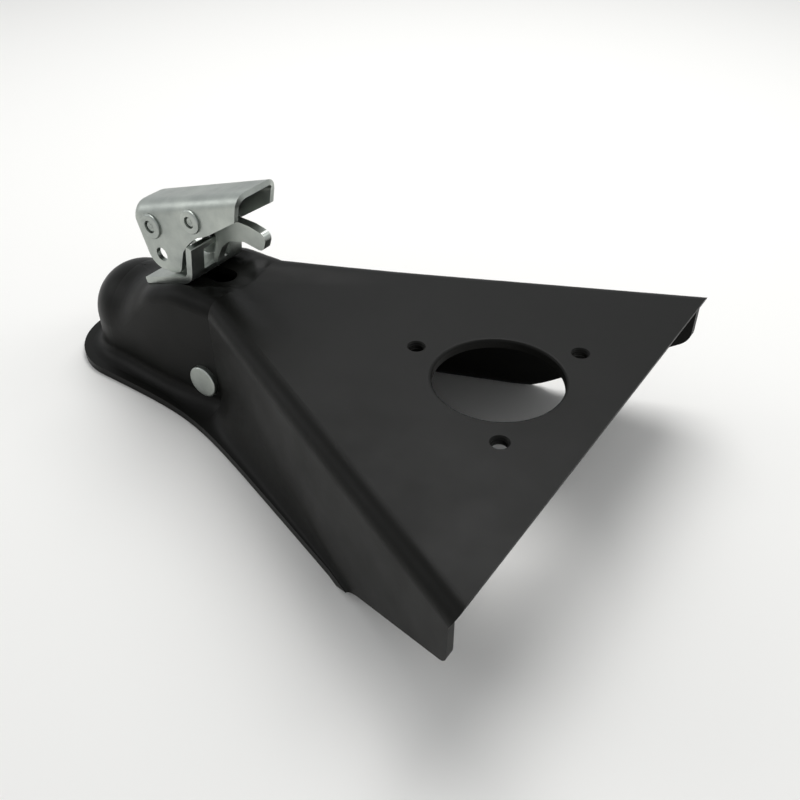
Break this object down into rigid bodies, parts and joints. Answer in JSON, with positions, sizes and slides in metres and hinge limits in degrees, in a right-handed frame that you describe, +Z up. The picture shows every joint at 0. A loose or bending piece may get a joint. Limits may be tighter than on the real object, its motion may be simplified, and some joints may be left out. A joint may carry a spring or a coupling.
{
  "type": "trailer coupler",
  "caption": "Pressed A-frame trailer coupler for a 2 inch ball, with a lever latch on top, a ball clamp under the socket and a round jack hole in its plate.",
  "frame": {"origin": "centre of the 2 inch ball in the closed socket", "axes": "+X to the rear, away from the socket; +Y to the side away from the pin's flat head; +Z up, along the ball's shank"},
  "size_m": [0.355, 0.2682, 0.1374],
  "materials": {
    "black_paint": "satin black paint",
    "zinc_plate": "clear zinc plating, worn",
    "black_casting": "black coating",
    "spring_steel": "plain spring wire"
  },
  "bodies": {
    "shell": {"hood": "black_paint", "keeper": "zinc_plate", "cross_pin": "zinc_plate", "upper_spring_seat": "zinc_plate", "clamp_spring": "spring_steel"},
    "clamp": {"clamp": "black_casting", "lower_spring_seat": "zinc_plate"},
    "draw": {"draw_bolt": "zinc_plate", "rocker_pad": "zinc_plate", "adjusting_nut": "zinc_plate"},
    "lever": {"lever": "zinc_plate", "lever_rivet": "zinc_plate", "trigger_rivet": "zinc_plate"},
    "trigger": {"trigger": "zinc_plate", "trigger_spring": "spring_steel"}
  },
  "joints": [
    {"name": "draw_slide", "type": "slide", "parent": "shell", "child": "draw", "axis": [0.1392, 0, -0.9903], "range_m": [0, 0.0083]},
    {"name": "lever_hinge", "type": "hinge", "parent": "draw", "child": "lever", "pos_m": [0.03714, 0, 0.07369], "axis": [0, -1, 0], "range_deg": [0, 86]},
    {"name": "clamp_hinge", "type": "hinge", "parent": "shell", "child": "clamp", "pos_m": [0.082, 0, -0.0041], "axis": [0, -1, 0], "range_deg": [0, 14], "deforming": ["clamp_spring"]},
    {"name": "trigger_hinge", "type": "hinge", "parent": "lever", "child": "trigger", "pos_m": [0.06983, 0, 0.08569], "axis": [0, -1, 0], "range_deg": [0, 16], "stiffness_Nm_per_rad": 0.5, "springref_deg": -20.05}
  ],
  "couplings": [
    {"joint": "lever_hinge", "follows": "draw_slide", "rad_per_m": 180.72},
    {"joint": "clamp_hinge", "follows": "draw_slide", "rad_per_m": 29.386}
  ]
}
